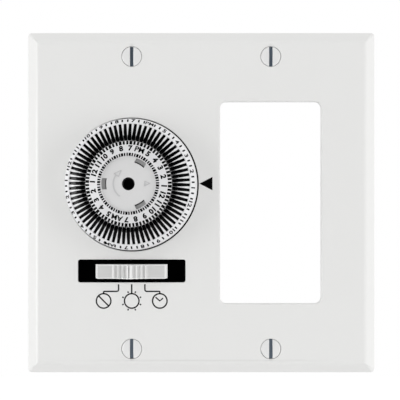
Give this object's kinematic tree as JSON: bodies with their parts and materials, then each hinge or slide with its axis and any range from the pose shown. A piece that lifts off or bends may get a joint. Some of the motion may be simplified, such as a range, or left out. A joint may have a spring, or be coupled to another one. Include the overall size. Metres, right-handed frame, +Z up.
{
  "type": "timer light switch",
  "caption": "Wall plate with a dial timer light switch: numbered round dial ringed by push-in trippers, ribbed slide knob below it, and an open decorator gang beside it.",
  "frame": {"origin": "middle of the plate's back edge, on the wall's surface", "axes": "+X to the right seen from the room, +Y into the wall, +Z up the wall"},
  "size_m": [0.117, 0.0541, 0.1146],
  "materials": {
    "plate_white": "smooth moulded plastic",
    "screw_white": "white painted heads, bare steel slots",
    "dial_white": "smooth moulded plastic",
    "carrier_grey": "plain moulded plastic",
    "tripper_black": "glossy black",
    "switch_white": "satin moulded plastic",
    "switch_black": "matte black",
    "housing_black": "dull moulded thermoset",
    "strap_steel": "zinc plated",
    "shaft_steel": "ground steel",
    "brass": "plain brass",
    "bronze": "spring bronze",
    "gear_ivory": "natural nylon",
    "motor_zinc": "zinc plated",
    "coil_red": "enamelled copper winding",
    "board_brown": "phenolic board",
    "ground_green": "green dyed"
  },
  "bodies": {
    "base": {"wall_plate": "plate_white", "plate_screws": "screw_white", "mounting_strap": "strap_steel", "front_housing": "housing_black", "mechanism_plate": "strap_steel", "rear_housing": "housing_black", "housing_screws": "strap_steel", "dial_shield": "switch_black", "dial_spindle": "shaft_steel", "idler_axle": "shaft_steel", "motor_can": "motor_zinc", "motor_coil": "coil_red", "follower_pin": "shaft_steel", "blade_anchor": "brass", "fixed_contact": "brass", "switch_tray": "switch_black", "contact_board": "board_brown", "switch_contacts": "brass", "detent_spring": "strap_steel", "terminal_plates": "brass", "terminal_screws": "brass", "ground_screw": "ground_green"},
    "dial": {"dial_hub": "dial_white", "dial_ring": "dial_white", "dial_carrier": "carrier_grey", "day_gear": "gear_ivory", "clutch_spring": "bronze", "dial_retainer": "strap_steel"},
    "slide": {"slide_knob": "switch_white", "slide_carriage": "switch_black", "slide_wiper": "bronze"},
    "idler": {"idler_gear": "gear_ivory"},
    "motor_output": {"motor_pinion": "brass"},
    "follower": {"follower_lever": "gear_ivory"},
    "blade": {"contact_blade": "bronze"},
    "tripper_am_12": {"tripper_am_12": "tripper_black"},
    "tripper_am_1": {"tripper_am_1": "tripper_black"},
    "tripper_am_2": {"tripper_am_2": "tripper_black"},
    "tripper_am_3": {"tripper_am_3": "tripper_black"},
    "tripper_am_4": {"tripper_am_4": "tripper_black"},
    "tripper_am_5": {"tripper_am_5": "tripper_black"},
    "tripper_am_6": {"tripper_am_6": "tripper_black"},
    "tripper_am_7": {"tripper_am_7": "tripper_black"},
    "tripper_am_8": {"tripper_am_8": "tripper_black"},
    "tripper_am_9": {"tripper_am_9": "tripper_black"},
    "tripper_am_10": {"tripper_am_10": "tripper_black"},
    "tripper_am_11": {"tripper_am_11": "tripper_black"},
    "tripper_pm_12": {"tripper_pm_12": "tripper_black"},
    "tripper_pm_1": {"tripper_pm_1": "tripper_black"},
    "tripper_pm_2": {"tripper_pm_2": "tripper_black"},
    "tripper_pm_3": {"tripper_pm_3": "tripper_black"},
    "tripper_pm_4": {"tripper_pm_4": "tripper_black"},
    "tripper_pm_5": {"tripper_pm_5": "tripper_black"},
    "tripper_pm_6": {"tripper_pm_6": "tripper_black"},
    "tripper_pm_7": {"tripper_pm_7": "tripper_black"},
    "tripper_pm_8": {"tripper_pm_8": "tripper_black"},
    "tripper_pm_9": {"tripper_pm_9": "tripper_black"},
    "tripper_pm_10": {"tripper_pm_10": "tripper_black"},
    "tripper_pm_11": {"tripper_pm_11": "tripper_black"}
  },
  "joints": [
    {"name": "dial_turn", "type": "hinge", "parent": "base", "child": "dial", "pos_m": [-0.02302, -0.0056, 0.006], "axis": [0, 1, 0], "continuous": true},
    {"name": "slide_move", "type": "slide", "parent": "base", "child": "slide", "axis": [1, 0, 0], "range_m": [-0.0044, 0.0044]},
    {"name": "idler_turn", "type": "hinge", "parent": "base", "child": "idler", "pos_m": [-0.02302, 0.0089, -0.0108], "axis": [0, 1, 0], "continuous": true},
    {"name": "motor_turn", "type": "hinge", "parent": "base", "child": "motor_output", "pos_m": [-0.02302, 0.0089, -0.0003], "axis": [0, 1, 0], "continuous": true},
    {"name": "follower_rock", "type": "hinge", "parent": "base", "child": "follower", "pos_m": [-0.00645, 0.005, -0.014], "axis": [-1, 0, 0], "range_deg": [0, 4.5]},
    {"name": "blade_bend", "type": "hinge", "parent": "base", "child": "blade", "pos_m": [-0.00645, 0.00915, 0.023], "axis": [1, 0, 0], "range_deg": [0, 4.5], "stiffness_Nm_per_rad": 0.02},
    {"name": "press_am_12", "type": "slide", "parent": "dial", "child": "tripper_am_12", "axis": [0, 1, 0], "range_m": [0, 0.0016]},
    {"name": "press_am_1", "type": "slide", "parent": "dial", "child": "tripper_am_1", "axis": [0, 1, 0], "range_m": [0, 0.0016]},
    {"name": "press_am_2", "type": "slide", "parent": "dial", "child": "tripper_am_2", "axis": [0, 1, 0], "range_m": [0, 0.0016]},
    {"name": "press_am_3", "type": "slide", "parent": "dial", "child": "tripper_am_3", "axis": [0, 1, 0], "range_m": [0, 0.0016]},
    {"name": "press_am_4", "type": "slide", "parent": "dial", "child": "tripper_am_4", "axis": [0, 1, 0], "range_m": [0, 0.0016]},
    {"name": "press_am_5", "type": "slide", "parent": "dial", "child": "tripper_am_5", "axis": [0, 1, 0], "range_m": [0, 0.0016]},
    {"name": "press_am_6", "type": "slide", "parent": "dial", "child": "tripper_am_6", "axis": [0, 1, 0], "range_m": [0, 0.0016]},
    {"name": "press_am_7", "type": "slide", "parent": "dial", "child": "tripper_am_7", "axis": [0, 1, 0], "range_m": [0, 0.0016]},
    {"name": "press_am_8", "type": "slide", "parent": "dial", "child": "tripper_am_8", "axis": [0, 1, 0], "range_m": [0, 0.0016]},
    {"name": "press_am_9", "type": "slide", "parent": "dial", "child": "tripper_am_9", "axis": [0, 1, 0], "range_m": [0, 0.0016]},
    {"name": "press_am_10", "type": "slide", "parent": "dial", "child": "tripper_am_10", "axis": [0, 1, 0], "range_m": [0, 0.0016]},
    {"name": "press_am_11", "type": "slide", "parent": "dial", "child": "tripper_am_11", "axis": [0, 1, 0], "range_m": [0, 0.0016]},
    {"name": "press_pm_12", "type": "slide", "parent": "dial", "child": "tripper_pm_12", "axis": [0, 1, 0], "range_m": [0, 0.0016]},
    {"name": "press_pm_1", "type": "slide", "parent": "dial", "child": "tripper_pm_1", "axis": [0, 1, 0], "range_m": [0, 0.0016]},
    {"name": "press_pm_2", "type": "slide", "parent": "dial", "child": "tripper_pm_2", "axis": [0, 1, 0], "range_m": [0, 0.0016]},
    {"name": "press_pm_3", "type": "slide", "parent": "dial", "child": "tripper_pm_3", "axis": [0, 1, 0], "range_m": [0, 0.0016]},
    {"name": "press_pm_4", "type": "slide", "parent": "dial", "child": "tripper_pm_4", "axis": [0, 1, 0], "range_m": [0, 0.0016]},
    {"name": "press_pm_5", "type": "slide", "parent": "dial", "child": "tripper_pm_5", "axis": [0, 1, 0], "range_m": [0, 0.0016]},
    {"name": "press_pm_6", "type": "slide", "parent": "dial", "child": "tripper_pm_6", "axis": [0, 1, 0], "range_m": [0, 0.0016]},
    {"name": "press_pm_7", "type": "slide", "parent": "dial", "child": "tripper_pm_7", "axis": [0, 1, 0], "range_m": [0, 0.0016]},
    {"name": "press_pm_8", "type": "slide", "parent": "dial", "child": "tripper_pm_8", "axis": [0, 1, 0], "range_m": [0, 0.0016]},
    {"name": "press_pm_9", "type": "slide", "parent": "dial", "child": "tripper_pm_9", "axis": [0, 1, 0], "range_m": [0, 0.0016]},
    {"name": "press_pm_10", "type": "slide", "parent": "dial", "child": "tripper_pm_10", "axis": [0, 1, 0], "range_m": [0, 0.0016]},
    {"name": "press_pm_11", "type": "slide", "parent": "dial", "child": "tripper_pm_11", "axis": [0, 1, 0], "range_m": [0, 0.0016]}
  ],
  "couplings": [
    {"joint": "idler_turn", "follows": "dial_turn", "ratio": -6},
    {"joint": "motor_turn", "follows": "dial_turn", "ratio": 36},
    {"joint": "follower_rock", "follows": "press_pm_1", "rad_per_m": 45.43},
    {"joint": "blade_bend", "follows": "press_pm_1", "rad_per_m": 43.039}
  ]
}
